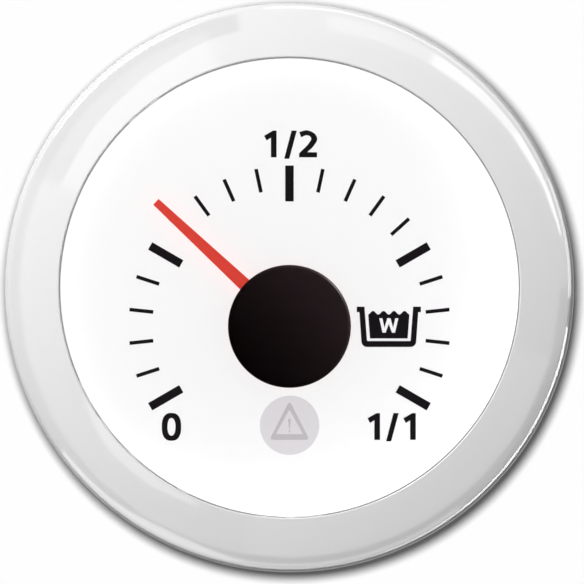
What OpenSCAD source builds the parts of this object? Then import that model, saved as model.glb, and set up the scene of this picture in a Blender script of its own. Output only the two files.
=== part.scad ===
// Tank level gauge for a round panel hole: white front ring, double lens, printed dial, a pointer
// turned by a small stepper motor, a threaded barrel with its ring nut, and a connector at the rear.
// Every piece is drawn as seen from the front: x right, y up, z towards the viewer, z = 0 where
// the seal lies on the panel. The last step stands the gauge up, so that the dial faces -Y.

/* [Panel seat] */
// Diameter of the panel hole that the barrel drops into
hole_d = 52; // [50:0.5:52.5]
// Gap all round between the barrel and that hole
hole_gap = 0.1; // [0.05:0.05:0.3]
// Thickness of the rubber seal between the flange and the panel
seal_t = 1; // [0.6:0.1:1.6]
// How far the seal stands proud of the shoulder that it is stretched over
seal_proud = 0.1; // [0.1:0.05:0.3]
// Width of that shoulder, outside the barrel
shoulder_w = 0.6; // [0.4:0.1:0.8]
// Width of the flange's seat outside the shoulder
seat_w = 1.7; // [1.5:0.1:3]

/* [Front ring] */
// Wall of the ring's skirt round the flange
skirt_wall = 1.25; // [1:0.05:1.4]
// Gap between the bottom of the skirt and the panel
skirt_gap = 0.35; // [0.2:0.05:0.5]
// Gap between the skirt and the flange
skirt_play = 0.15; // [0.1:0.05:0.3]
// How far the snap lip under the flange reaches inwards from the flange's edge
snap_reach = 0.4; // [0.2:0.05:0.5]
// Thickness of the lip that holds the lenses, at its inner edge
lip_t = 1.3; // [1.1:0.05:1.8]
// How far the lip covers the edge of the dial
dial_cover = 0.9; // [0.7:0.1:1.4]
// Radius of the rounded outer edge
edge_r = 0.9; // [0.6:0.1:1.6]
// Radius of the rounded inner edge
inner_round = 0.12; // [0.1:0.02:0.4]
// Slope of the ring's face at its inner edge, in degrees
slope_in = 11; // [8:0.5:12]
// Slope of the ring's face where the outer edge starts, in degrees
slope_out = 15; // [13:0.5:20]

/* [Lenses] */
// Thickness of the outer lens
outer_lens_t = 1.2; // [0.8:0.1:1.8]
// Thickness of the inner lens
inner_lens_t = 0.8; // [0.5:0.1:1.2]
// Thickness of the spacer ring that keeps an air gap between the lenses
spacer_t = 0.5; // [0.3:0.1:1]
// How far the spacer ring shows inside the front ring
spacer_shows = 0.12; // [0.05:0.01:0.4]
// Thickness of the rubber ring between the case and the inner lens
lens_seal_t = 0.6; // [0.4:0.1:1]
// Gap between the pointer cap and the inner lens
lens_gap = 0.4; // [0.3:0.1:1]

/* [Case] */
// Length of the case behind the panel
barrel_l = 38; // [36:1:44]
// Depth of the thread on the barrel
thread_depth = 0.7; // [0.5:0.1:0.9]
// Length of the plain stretch of barrel that fits the panel hole
plain_l = 6; // [4:0.5:8]
// Wall of the barrel under the thread
barrel_wall = 1.5; // [1.2:0.1:1.8]
// Thickness of the rear wall
rear_wall = 1.8; // [1.4:0.1:2.4]
// Thickness of the flange in front of the seal
flange_t = 2; // [1.4:0.1:2.4]
// Thickness of the ledge that the dial tray stands on
ledge_t = 0.8; // [0.6:0.1:1.2]
// Step from the flange's edge in to the rim round the dial
rim_step = 0.8; // [0.6:0.1:1]
// Wall of the rim round the dial
rim_wall = 2.4; // [2.2:0.1:2.6]
// Outside radius of the screw posts
post_r = 2.4; // [2:0.1:2.6]
// Distance from the screw posts to the inside of the barrel
post_inset = 4.4; // [4:0.1:4.6]
// Gap between the screw posts and the motor
post_gap = 0.4; // [0.3:0.1:0.8]
// Gap between the motor's corners and the inside of the barrel
motor_room = 1.3; // [1:0.1:2]

/* [Ring nut] */
// Outside diameter over the grips
nut_d = 58.6; // [58:0.2:60]
// Length of the nut
nut_l = 11; // [8:0.5:14]
// Length of the collar that bears on the panel
collar_l = 2.5; // [1.5:0.5:4]
// Distance from the seal to the nut as stored
nut_off = 10.5; // [8:0.5:12]
// Radial gap between the nut and the barrel's crests
nut_gap = 0.1; // [0.05:0.05:0.3]
// Number of grips round the nut
grips = 12; // [8:1:16]
// Radius of one grip
grip_r = 2.2; // [1.6:0.1:2.6]

/* [Dial] */
// Thickness of the dial
dial_t = 0.5; // [0.4:0.1:0.8]
// Thickness of the printed marks
ink_t = 0.05; // [0.04:0.01:0.1]
// Distance of the pointer's axis below the middle of the dial
arbor_drop = 4.1; // [3:0.1:5]
// Outer radius of the scale, about the pointer's axis
scale_r = 17; // [16:0.1:18]
// Length of a main mark
main_l = 3.8; // [3:0.1:5]
// Width of a main mark
main_w = 0.9; // [0.5:0.02:1.2]
// Length of a small mark
small_l = 2.53; // [2:0.05:3]
// Width of a small mark
small_w = 0.39; // [0.2:0.01:0.5]
// Angle of the whole scale, in degrees
scale_sweep = 240; // [200:10:260]
// Number of main marks
main_marks = 5; // [3:1:7]
// Number of spaces between two main marks
spaces = 5; // [2:1:10]
// Distance from the warning lamp to the dial's lower edge
lamp_inset = 10.66; // [10.2:0.02:11.2]
// Radius of the warning lamp's window
lamp_r = 3.1; // [2.5:0.1:3.3]

/* [Pointer] */
// Angle of the pointer at rest, clockwise from straight up, in degrees
pointer_at = -47; // [-120:1:120]
// Distance of the pointer's tip from its axis
pointer_l = 19.3; // [17:0.05:19.5]
// Width of the pointer at its tip
tip_w = 0.84; // [0.4:0.02:1]
// Width of the pointer where it leaves the cap
root_w = 1.4; // [1:0.02:2]
// Thickness of the pointer
arm_t = 0.5; // [0.4:0.05:0.7]
// Gap between the dial and the pointer
arm_gap = 0.7; // [0.5:0.05:1]
// Radius of the pointer's cap
cap_r = 6.5; // [5.5:0.02:7]
// Height of the cap
cap_h = 2.2; // [1.8:0.1:3]
// Wall of the cap
cap_wall = 0.7; // [0.5:0.05:0.8]
// How much the middle of the cap stands above its edge
crown = 0.5; // [0.3:0.1:0.7]
// Radius of the pointer's steel shaft
shaft_r = 0.5; // [0.4:0.05:0.6]

/* [Light] */
// Thickness of the tray's flange under the dial
tray_flange_t = 0.6; // [0.5:0.1:1]
// Wall of the white tray
tray_wall = 1.2; // [0.8:0.1:1.5]
// Thickness of the tray's floor
tray_floor_t = 0.8; // [0.6:0.1:1.2]
// Height of the tray's floor above the circuit board
tray_stand = 1.8; // [1.6:0.1:2.4]
// Thickness of the clear light guide
guide_t = 2; // [1.5:0.1:2.5]
// Distance from the dial's lamps to the tray's wall
lamps_inset = 7.2; // [7:0.1:7.8]
// Side of a lamp
lamp_side = 2; // [1.6:0.1:2.2]
// Height of a lamp
lamp_h = 1; // [0.8:0.1:1.3]

/* [Circuit board] */
// Depth of the board's front behind the panel
board_depth = 7; // [6:0.5:9]
// Thickness of the board
board_t = 1.6; // [1:0.2:2]
// Radius of a board screw's thread
screw_r = 0.95; // [0.8:0.05:1.1]
// Length of a board screw under its head
screw_l = 7.6; // [6:0.2:10]
// Radius of a board screw's head
head_r = 2; // [1.6:0.1:2.1]
// Height of a board screw's head
head_h = 1.1; // [0.8:0.1:1.3]
// Side of the controller chip
chip_side = 5; // [4:0.5:5.5]
// Legs along one side of the chip
chip_legs = 8; // [6:1:10]
// Width of the surge diode
diode_w = 6.6; // [6:0.1:7]
// Height of the surge diode
diode_h = 5.4; // [5:0.1:5.6]
// Width of the supply regulator
regulator_w = 6.4; // [6:0.1:6.6]
// Height of the supply regulator
regulator_h = 6; // [5.6:0.1:6.2]
// Thickness of the regulator and the diode
moulding_t = 2.3; // [2:0.1:2.5]
// Width of the strips that the regulator and the diode stand on
strip_w = 0.8; // [0.6:0.1:1]
// Radius of the supply capacitor
can_r = 3.15; // [2.5:0.05:3.2]
// Height of the supply capacitor
can_h = 7.7; // [5:0.1:10]

/* [Gear train] */
// Tooth size: pitch diameter divided by the number of teeth
gear_module = 0.14; // [0.13:0.005:0.145]
// Teeth of the wheel on the pointer's shaft
output_teeth = 120; // [110:1:122]
// Teeth of the wheel that the rotor drives
idler_teeth = 96; // [90:1:100]
// Teeth of both pinions
pinion_teeth = 8; // [8:1:9]
// Pressure angle, in degrees
pressure = 20; // [19:0.5:22]
// How much each flank is set back, so that the teeth run free
flank_play = 0.012; // [0.008:0.001:0.02]
// Thickness of the wheels
wheel_t = 0.7; // [0.5:0.05:0.9]
// Distance of the rotor from the pointer's axis
rotor_at = 12.5; // [12.2:0.1:12.8]

/* [Motor] */
// Depth of the motor behind the board
motor_h = 9; // [9:0.1:10]
// Wall of the motor's case, and thickness of its cover
motor_wall = 0.8; // [0.6:0.05:0.9]
// Gap between the case and what turns or stands inside
motor_gap = 0.3; // [0.2:0.05:0.4]
// Radius of the rotor's magnet
magnet_r = 2.6; // [2.2:0.1:2.8]
// Air gap between the magnet and the iron
air_gap = 0.35; // [0.25:0.05:0.45]
// Thickness of the iron
iron_t = 1.3; // [1:0.1:1.5]
// Running gap of a shaft in its bearing
run_gap = 0.04; // [0.02:0.01:0.08]

/* [Connector] */
// Distance from the connector's middle to the inside of the barrel
plug_inset = 6.1; // [5.9:0.1:6.4]
// Outside width of the shroud
shroud_w = 15.4; // [14.4:0.2:16]
// Outside height of the shroud
shroud_h = 9.8; // [9:0.2:10]
// Wall of the shroud
shroud_wall = 1.2; // [0.9:0.1:1.4]
// How far the shroud stands out behind the case
shroud_l = 8.5; // [7.5:0.5:10]
// Depth of the contacts' tips inside the shroud's mouth
tip_depth = 5; // [4.6:0.1:5.4]
// Contacts in one row
pins_in_row = 4; // [2:1:4]
// Distance between two contacts
pin_pitch = 2.54; // [2.5:0.01:2.6]
// Side of a square contact
pin_side = 0.64; // [0.5:0.02:0.8]

/* [Hidden] */
$fn = 96;
slip = 0.05;
inside_gap = 0.2;
hair = 0.01;

// Radii of the barrel, from the panel hole inwards
barrel_r = hole_d / 2 - hole_gap;
core_r = barrel_r - thread_depth;
bore_r = core_r - barrel_wall;
nut_bore_r = barrel_r + nut_gap;

// Radii of the flange and the front ring outside it, then of what stands inside them
shoulder_r = barrel_r + shoulder_w;
snap_r = shoulder_r + seat_w;
flange_r = snap_r + snap_reach;
skirt_r = flange_r + skirt_play;
ring_r = skirt_r + skirt_wall;
rim_r = flange_r - rim_step;
pocket_r = rim_r + inside_gap;
lens_r = rim_r - inside_gap;
cup_r = rim_r - rim_wall;
dial_r = cup_r - inside_gap;
opening_r = dial_r - dial_cover;
tray_r = bore_r - 0.3;
tray_in = tray_r - tray_wall;

// Heights, from the panel towards the viewer
ledge_z = seal_t + ledge_t;
flange_top = seal_t + max(flange_t, ledge_t);
dial_z = ledge_z + tray_flange_t;
dial_top = dial_z + dial_t;
arm_z = dial_top + arm_gap;
cap_z = arm_z - inside_gap;
cap_top = cap_z + cap_h;
lens_z = cap_top + lens_gap;
rim_top = lens_z - lens_seal_t;
spacer_z = lens_z + inner_lens_t;
outer_lens_z = spacer_z + spacer_t;
lip_z = outer_lens_z + outer_lens_t;
ring_top = lip_z + lip_t;

// Depths behind the panel
board_z = -board_depth;
motor_z = board_z - board_t;
motor_floor = motor_z - motor_h + motor_wall;
gears_top = motor_z - motor_wall;
floor_z = rear_wall - barrel_l;
mouth_z = -barrel_l - shroud_l;
tray_floor_z = board_z + tray_stand;
guide_top = dial_z - inside_gap;
guide_z = guide_top - guide_t;

// Places
arbor = [0, -arbor_drop];
lamp_place = [0, lamp_inset - dial_r];
lamp_places = [for (a = [30, 90, 150, 210, 330]) (tray_in - lamps_inset) * [cos(a), sin(a)]];
plug_place = [0, plug_inset - bore_r];
pin_places = [for (i = [0 : pins_in_row - 1], row = [-1, 1])
    plug_place + pin_pitch * [i - (pins_in_row - 1) / 2, row / 2]];

// Gear sizes. The pinions have long teeth and the wheels short ones, so that eight teeth run free.
shift = 0.5;
addendum = 0.85;
dedendum = 1.1;
output_span = gear_module * (output_teeth + pinion_teeth) / 2;
idler_span = gear_module * (idler_teeth + pinion_teeth) / 2;
idler_y = (output_span ^ 2 - idler_span ^ 2 + rotor_at ^ 2) / (2 * rotor_at);
idler_x = -sqrt(output_span ^ 2 - idler_y ^ 2);
idler_place = [idler_x, idler_y];
rotor_place = [0, rotor_at];
to_idler = atan2(idler_y, idler_x);
to_rotor = atan2(rotor_at - idler_y, -idler_x);
output_r = gear_module * (output_teeth / 2 + addendum - shift);
pinion_tip_r = gear_module * (pinion_teeth / 2 + addendum + shift);

// Levels in the motor, from its cover down
output_z = gears_top - 1.6;
idler_z = output_z - 2;
idler_top = output_z + 1.1;
rotor_pinion_z = idler_z - 0.3;
rotor_pinion_top = idler_z + wheel_t + 0.3;
iron_z = idler_z - iron_t - 0.7;
magnet_top = rotor_pinion_z - inside_gap;
magnet_z = motor_floor + 0.6;

// Coils: each stands on one leg of the iron, between the rotor's yoke and the outer yoke
leg_x = 8.2;
leg_w = 2.2;
yoke_w = 2;
coil_t = 0.5;
coil_w = leg_w + 2.9;
coil_d = min(iron_t + 2.8, 2 * (iron_z + iron_t / 2 - motor_floor) - inside_gap);
coil_mid = iron_z + iron_t / 2;

// Outline of the motor, round its wheels and coils, and the screw posts beside it
motor_skin = motor_gap + motor_wall;
idler_r = gear_module * (idler_teeth / 2 + addendum - shift);
motor_r = output_r + motor_skin;
motor_w = 2 * (max(idler_r - idler_x, leg_x + coil_w / 2) + motor_skin);
motor_corner = 3;
corner_reach = bore_r - motor_room - motor_corner;
motor_top = arbor_drop + motor_corner + sqrt(corner_reach ^ 2 - (motor_w / 2 - motor_corner) ^ 2);
motor_foot = idler_y - idler_r - motor_skin;
post_x = motor_w / 2 + post_gap + post_r;
post_y = sqrt((bore_r - post_inset) ^ 2 - post_x ^ 2);
post_places = [for (x = [-1, 1], y = [-1, 1]) [x * post_x, y * post_y]];

// Coil ends, solder pins and locating pegs
leg_foot = rotor_at + yoke_w;
leg_head = motor_top - motor_skin - yoke_w;
motor_pin_r = 0.25;
motor_pins_at = [for (side = [-1, 1], s = [-1, 1]) [side * leg_x + s * 1.7, leg_head + 0.2]];
peg_places = [[-9.6, 8.6], [9.6, 8.6]];
peg_r = 0.7;

// A ring, or a disc where its hole is 0, between two heights
module tube(outer, inner, low, high) {
    translate([0, 0, low]) difference() {
        cylinder(r = outer, h = high - low);
        if (inner > 0) translate([0, 0, -1]) cylinder(r = inner, h = high - low + 2);
    }
}

module disc_at(place, radius, low, high)
    translate([place.x, place.y, low]) cylinder(r = radius, h = high - low);

module block_at(place, width, height, low, high)
    translate([place.x - width / 2, place.y - height / 2, low]) cube([width, height, high - low]);

// A rectangle with round corners, about its middle
module round_rect(width, height, radius) {
    square([width - 2 * radius, height], center = true);
    square([width, height - 2 * radius], center = true);
    for (x = [-1, 1], y = [-1, 1])
        translate([x * (width / 2 - radius), y * (height / 2 - radius)]) circle(r = radius);
}

module round_block(place, width, height, radius, low, high)
    translate([place.x, place.y, low]) linear_extrude(high - low) round_rect(width, height, radius);

function arc(centre, radius, from, to, steps) =
    [for (i = [0 : steps]) let (a = from + (to - from) * i / steps)
        centre + radius * [cos(a), sin(a)]];

// Front ring: its face falls away outwards like a cone, a little ever steeper, to a tight round edge
function ring_section() = let (
    inner_centre = [opening_r + inner_round, ring_top - inner_round],
    face_start = inner_centre + inner_round * [sin(slope_in), cos(slope_in)],
    face_end_r = ring_r - edge_r + edge_r * sin(slope_out),
    face_r = (face_end_r - face_start.x) / (sin(slope_out) - sin(slope_in)),
    face_centre = face_start - face_r * [sin(slope_in), cos(slope_in)],
    face_end = face_centre + face_r * [sin(slope_out), cos(slope_out)],
    edge_centre = face_end - edge_r * [sin(slope_out), cos(slope_out)],
    foot_r = 0.3
) concat(
    [[opening_r, lip_z]],
    arc(inner_centre, inner_round, 180, 90, 6),
    arc(face_centre, face_r, 90 - slope_in, 90 - slope_out, 8),
    arc(edge_centre, edge_r, 84 - slope_out, 0, 9),
    arc([ring_r - foot_r, skirt_gap + foot_r], foot_r, 0, -90, 4),
    [[snap_r, skirt_gap], [snap_r, seal_t - 2 * slip], [snap_r + slip, seal_t - slip],
     [skirt_r, seal_t - slip], [skirt_r, flange_top + slip], [pocket_r, flange_top + slip],
     [pocket_r, lip_z]]);

module front_ring() color("#f1f0f4") rotate_extrude() polygon(ring_section());

module lens(low, thickness, chamfer) color("#dfeaf0", 0.3)
    rotate_extrude() polygon([[0, low], [lens_r, low], [lens_r, low + thickness - chamfer],
        [lens_r - chamfer, low + thickness], [0, low + thickness]]);

module outer_lens() lens(outer_lens_z, outer_lens_t, 0.2);

module inner_lens() lens(lens_z, inner_lens_t, 0.1);

module lens_spacer() color("#8f9092") tube(lens_r, opening_r - spacer_shows, spacer_z, outer_lens_z);

module lens_seal() color("#1d1d1f") tube(lens_r, cup_r + inside_gap, rim_top, lens_z);

// Dial, its scale, and the ring that keeps it down
module dial_retainer() color("#f7f7f7") rotate_extrude() polygon([
    [cup_r - 0.1, dial_top], [cup_r - 0.1, lens_z], [cup_r - 0.5, lens_z],
    [cup_r - 0.8, dial_top + 0.4], [cup_r - 1, dial_top]]);

module dial() color("#fdfdfd") difference() {
    tube(dial_r, 0, dial_z, dial_top);
    disc_at(arbor, hub_r + 0.6, dial_z - 1, dial_top + 1);
    disc_at(lamp_place, lamp_r + slip, dial_z - 1, dial_top + 1);
}

module mark(angle, length, width)
    translate([arbor.x, arbor.y, dial_top]) rotate(-angle)
        translate([-width / 2, scale_r - length, 0]) cube([width, length, ink_t]);

module scale_marks() color("#141414") {
    step = scale_sweep / (main_marks - 1) / spaces;
    for (i = [0 : (main_marks - 1) * spaces])
        if (i % spaces == 0) mark(i * step - scale_sweep / 2, main_l, main_w);
        else mark(i * step - scale_sweep / 2, small_l, small_w);
}

// Frosted plug that carries the warning lamp's light up to the dial's face
module lamp_window() color("#dedade") {
    disc_at(lamp_place, lamp_r, chimney_top, dial_top);
    disc_at(lamp_place, lamp_r + 0.7, chimney_top, chimney_top + 0.6);
    disc_at(lamp_place, lamp_r - 0.4, tray_floor_z + tray_floor_t + 0.4, chimney_top);
}

// Pointer: a flat red arm with a round hub under the cap, and a socket for the shaft
hub_r = shaft_r + 1.1;
hub_disc_r = cap_r - cap_wall - 0.5;
socket_z = dial_z - 0.9;
shaft_top = arm_z + arm_t - 0.1;
module pointer() color("#e8382b") difference() {
    translate([arbor.x, arbor.y, 0]) {
        translate([0, 0, arm_z]) rotate(-pointer_at) linear_extrude(arm_t) {
            circle(r = hub_disc_r);
            polygon([[-root_w / 2, 0], [root_w / 2, 0], [root_w / 2, cap_r],
                [tip_w / 2, pointer_l], [-tip_w / 2, pointer_l], [-root_w / 2, cap_r]]);
        }
        tube(hub_r, 0, socket_z, arm_z + hair);
    }
    disc_at(arbor, shaft_r + hair, socket_z - 1, shaft_top);
}

// Cap: a shallow black dome over the hub, with a slot where the arm comes out
module pointer_cap() color("#17171a") translate([arbor.x, arbor.y, 0]) difference() {
    rotate_extrude() polygon(concat(
        [[0, arm_z + arm_t + slip], [cap_r - cap_wall, arm_z + arm_t + slip],
         [cap_r - cap_wall, cap_z], [cap_r, cap_z]],
        arc([cap_r - 0.4, cap_top - crown - 0.4], 0.4, 0, 80, 5),
        [for (i = [1 : 9]) let (s = (cap_r - 0.4) * (1 - i / 9))
            [s, cap_top - crown * (s / (cap_r - 0.4)) ^ 2]]));
    translate([0, 0, cap_z - 1]) rotate(-pointer_at)
        translate([-root_w / 2 - slip, 0, 0])
            cube([root_w + 2 * slip, cap_r + 1, arm_z + arm_t - cap_z + 1 + slip]);
}

module pointer_shaft() color("#c9ccd0")
    disc_at(arbor, shaft_r, motor_floor - motor_wall / 2, shaft_top - slip);

// Light: a clear guide under the dial, in a white tray that stands on the board
chimney_top = guide_z - 0.1;
guide_ledge = 1.1;
module light_guide() color("#e6f2f4", 0.5) difference() {
    tube(tray_in - slip, 0, guide_z, guide_top);
    disc_at(arbor, hub_r + 1.4, guide_z - 1, guide_top + 1);
    disc_at(lamp_place, lamp_r + 1, guide_z - 1, guide_top + 1);
}

module dial_tray() color("#f4f4f2") {
    tube(tray_r, tray_in, board_z, dial_z);
    tube(dial_r, tray_in, ledge_z, dial_z);
    tube(tray_in + hair, tray_in - guide_ledge, guide_z - 0.8, guide_z);
    difference() {
        union() {
            tube(tray_in + hair, 0, tray_floor_z, tray_floor_z + tray_floor_t);
            disc_at(arbor, hub_r + 1.2, tray_floor_z, guide_top - inside_gap);
            disc_at(lamp_place, lamp_r + 1, tray_floor_z, chimney_top);
        }
        disc_at(arbor, hub_r + 0.5, tray_floor_z - 1, guide_top + 1);
        disc_at(lamp_place, lamp_r - 0.2, tray_floor_z - 1, guide_top + 1);
        for (p = lamp_places) disc_at(p, lamp_side * 0.8, tray_floor_z - 1, tray_floor_z + tray_floor_t + 1);
    }
}

module lamp_on_board(place) {
    block_at(place, lamp_side, lamp_side * 0.8, board_z, board_z + lamp_h * 0.7);
    disc_at(place, lamp_side * 0.36, board_z + lamp_h * 0.7, board_z + lamp_h);
}

module dial_lamps() color("#f3e9b8") for (p = lamp_places) lamp_on_board(p);

module warning_lamp() color("#d8a09a") lamp_on_board(lamp_place);

// Circuit board with its holes, and what is soldered to it
leg_reach = 1;
strip_reach = 0.9;
chip_place = [-motor_w / 2 - leg_reach - 0.7 - chip_side / 2, 0];
regulator_place = [motor_w / 2 + strip_reach + regulator_w / 2, 0.5];
can_place = (bore_r - can_r - 1.45) * [cos(-60), sin(-60)];
diode_place = (bore_r - diode_h / 2 - 2) * [cos(-120), sin(-120)];
module circuit_board() color("#1f5a3a") difference() {
    tube(bore_r - 0.4, 0, motor_z, board_z);
    for (p = post_places) disc_at(p, screw_r + 0.25, motor_z - 1, board_z + 1);
    disc_at(arbor, bearing_r + slip, motor_z - 1, board_z + 1);
    for (p = motor_pins_at) disc_at(arbor + p, motor_pin_r + 0.15, motor_z - 1, board_z + 1);
    for (p = peg_places) disc_at(arbor + p, peg_r + slip, motor_z - 1, board_z + 1);
    for (p = pin_places) disc_at(p, pin_side * 0.8, motor_z - 1, board_z + 1);
}

module board_screws() color("#b9bcc0") for (p = post_places) {
    difference() {
        translate([p.x, p.y, board_z]) rotate_extrude() polygon([
            [0, 0], [head_r, 0], [head_r, head_h * 0.5], [head_r * 0.7, head_h], [0, head_h]]);
        for (a = [0, 90]) translate([p.x, p.y, board_z + head_h]) rotate(a)
            cube([head_r * 1.2, head_r * 0.28, head_h], center = true);
    }
    disc_at(p, screw_r, board_z - screw_l, board_z + hair);
}

module controller_chip() color("#232326")
    block_at(chip_place, chip_side, chip_side, motor_z - 1.3, motor_z - 0.15);

module chip_legs() color("#c9ccd0") {
    step = chip_side / (chip_legs + 1);
    for (side = [0 : 3], i = [1 : chip_legs])
        translate([chip_place.x, chip_place.y, 0]) rotate(90 * side)
            translate([chip_side / 2, (i - (chip_legs + 1) / 2) * step - step / 4, motor_z]) {
                translate([0, 0, -0.75]) cube([0.5, step / 2, 0.15]);
                translate([0.4, 0, -0.75]) cube([0.15, step / 2, 0.75]);
                translate([0.4, 0, -0.15]) cube([leg_reach - 0.4, step / 2, 0.15]);
            }
}

module supply_capacitor() color("#aab0b6") {
    translate([can_place.x, can_place.y, motor_z - can_h]) rotate_extrude() polygon([
        [0, 0.2], [can_r * 0.8, 0.2], [can_r * 0.8, 0], [can_r * 0.95, 0], [can_r, 0.3],
        [can_r, can_h * 0.72], [can_r * 0.9, can_h * 0.76], [can_r, can_h * 0.8],
        [can_r, can_h - 0.8], [0, can_h - 0.8]]);
    block_at(can_place, can_r * 2, can_r * 2, motor_z - 0.8, motor_z);
}

module supply_regulator() color("#26262a") {
    block_at(regulator_place, regulator_w, regulator_h, motor_z - moulding_t, motor_z);
    for (i = [-1, 1])
        block_at(regulator_place + [i * (regulator_w / 2 - 1), -regulator_h / 2 - strip_reach / 2],
            strip_w, strip_reach + hair, motor_z - 0.5, motor_z);
}

module surge_diode() color("#2a2a2d") {
    block_at(diode_place, diode_w, diode_h, motor_z - moulding_t, motor_z - 0.1);
    for (i = [-1, 1])
        block_at(diode_place + [i * diode_w / 2, 0], strip_w, diode_h / 2, motor_z - moulding_t / 2, motor_z);
}

// Gears: involute flanks above the base circle, straight radial ones below it
function involute(angle) = tan(angle) * 180 / PI - angle;

function half_tooth(teeth, offset, radius) = let (
    pitch_r = gear_module * teeth / 2,
    base_r = pitch_r * cos(pressure),
    at_pitch = (90 + 2 * offset * tan(pressure) * 180 / PI) / teeth - flank_play / pitch_r * 180 / PI
) at_pitch + involute(pressure) - involute(acos(min(1, base_r / radius)));

function tooth(teeth, offset, steps) = let (
    pitch_r = gear_module * teeth / 2,
    base_r = pitch_r * cos(pressure),
    root_r = pitch_r + gear_module * (offset - dedendum),
    tip_r = pitch_r + gear_module * (offset + addendum),
    start_r = max(base_r, root_r),
    flank = concat(
        root_r < base_r ? [[root_r, half_tooth(teeth, offset, base_r)]] : [],
        [for (i = [0 : steps]) let (radius = start_r + (tip_r - start_r) * i / steps)
            [radius, half_tooth(teeth, offset, radius)]])
) concat([for (p = flank) [p[0], -p[1]]], [for (i = [len(flank) - 1 : -1 : 0]) flank[i]]);

module gear(teeth, offset, steps, turn, low, high)
    translate([0, 0, low]) linear_extrude(high - low) polygon([
        for (i = [0 : teeth - 1], p = tooth(teeth, offset, steps))
            let (a = turn + i * 360 / teeth + p[1]) p[0] * [cos(a), sin(a)]]);

// The idler's pinion and the rotor's turn a tooth towards the wheel, the wheels a gap to the pinion
output_turn = to_idler + 180 / output_teeth;
idler_turn = to_rotor + 180 / idler_teeth;
idler_pinion_turn = to_idler + 180;
rotor_turn = to_rotor + 180;
bearing_r = shaft_r + 1;

module at_arbor() translate([arbor.x, arbor.y, 0]) children();

module at_idler() at_arbor() translate([idler_place.x, idler_place.y, 0]) children();

module at_rotor() at_arbor() translate([rotor_place.x, rotor_place.y, 0]) children();

module output_wheel() color("#e9e4d2") at_arbor() difference() {
    union() {
        difference() {
            gear(output_teeth, -shift, 2, output_turn, output_z, output_z + wheel_t);
            for (a = [0 : 60 : 300]) rotate(a + 30)
                disc_at([output_r * 0.58, 0], output_r * 0.19, output_z - 1, output_z + wheel_t + 1);
        }
        tube(shaft_r + 1.1, 0, output_z - 0.6, gears_top - 0.3);
    }
    disc_at([0, 0], shaft_r + hair, output_z - 2, gears_top + 1);
}

idler_pin_r = 0.25;
module idler_wheel() color("#efe9d8") at_idler() difference() {
    union() {
        gear(idler_teeth, -shift, 2, idler_turn, idler_z, idler_z + wheel_t);
        tube(pinion_tip_r + 0.3, 0, idler_z - 0.2, output_z - 0.5);
        gear(pinion_teeth, shift, 5, idler_pinion_turn, output_z - 0.5 - hair, idler_top);
    }
    for (a = [45 : 90 : 315]) rotate(a)
        disc_at([gear_module * idler_teeth * 0.29, 0], gear_module * idler_teeth * 0.11,
            idler_z - 1, idler_z + wheel_t + 0.1);
    disc_at([0, 0], idler_pin_r + run_gap, idler_z - 1, idler_top + 1);
}

module idler_pin() color("#c9ccd0") at_idler()
    disc_at([0, 0], idler_pin_r, motor_floor + 0.6, gears_top + motor_wall / 2);

pivot_r = 0.35;
magnet_bore_r = 1.2;
module rotor_pinion() color("#d9d2be") at_rotor() {
    gear(pinion_teeth, shift, 5, rotor_turn, rotor_pinion_z, rotor_pinion_top);
    tube(magnet_bore_r - hair, 0, magnet_z, rotor_pinion_z + hair);
    tube(pivot_r, 0, motor_floor - motor_wall / 2, magnet_z + hair);
    tube(pivot_r, 0, rotor_pinion_top - hair, gears_top + motor_wall / 2);
}

module rotor_magnet() color("#5c5f63") at_rotor() tube(magnet_r, magnet_bore_r, magnet_z, magnet_top);

// Motor: flat cover with the bearing collar, deep case with bosses, iron core and two coils
module motor_outline(inset) {
    circle(r = motor_r - inset);
    translate([0, (motor_top + motor_foot) / 2])
        round_rect(motor_w - 2 * inset, motor_top - motor_foot - 2 * inset, motor_corner - inset);
}

module motor_cover() color("#1f2023") at_arbor() difference() {
    union() {
        translate([0, 0, gears_top]) linear_extrude(motor_wall) motor_outline(0);
        tube(bearing_r, 0, motor_z - hair, board_z + 0.6);
        for (p = peg_places) disc_at(p, peg_r, motor_z - hair, board_z - 0.2);
    }
    disc_at([0, 0], shaft_r + run_gap, gears_top - 1, board_z + 1);
    disc_at(idler_place, idler_pin_r + hair, gears_top - 1, gears_top + motor_wall / 2 + slip);
    disc_at(rotor_place, pivot_r + run_gap, gears_top - 1, gears_top + motor_wall / 2 + slip);
    for (p = motor_pins_at) disc_at(p, motor_pin_r + 0.15, gears_top - 1, motor_z + 1);
}

module motor_case() color("#26272b") at_arbor() difference() {
    union() {
        translate([0, 0, motor_floor - motor_wall]) linear_extrude(gears_top - motor_floor + motor_wall)
            difference() {
                motor_outline(0);
                motor_outline(motor_wall);
            }
        translate([0, 0, motor_floor - motor_wall]) linear_extrude(motor_wall) motor_outline(hair);
        tube(shaft_r + 1.1, 0, motor_floor - hair, output_z - 1);
        disc_at(idler_place, pinion_tip_r + 0.2, motor_floor - hair, idler_z - 0.4);
        disc_at(rotor_place, 1, motor_floor - hair, magnet_z - inside_gap);
    }
    disc_at([0, 0], shaft_r + run_gap, motor_floor - motor_wall / 2 - slip, gears_top + 1);
    disc_at(idler_place, idler_pin_r + hair, motor_floor + 0.6 - slip, gears_top + 1);
    disc_at(rotor_place, pivot_r + run_gap, motor_floor - motor_wall / 2 - slip, gears_top + 1);
}

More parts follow.
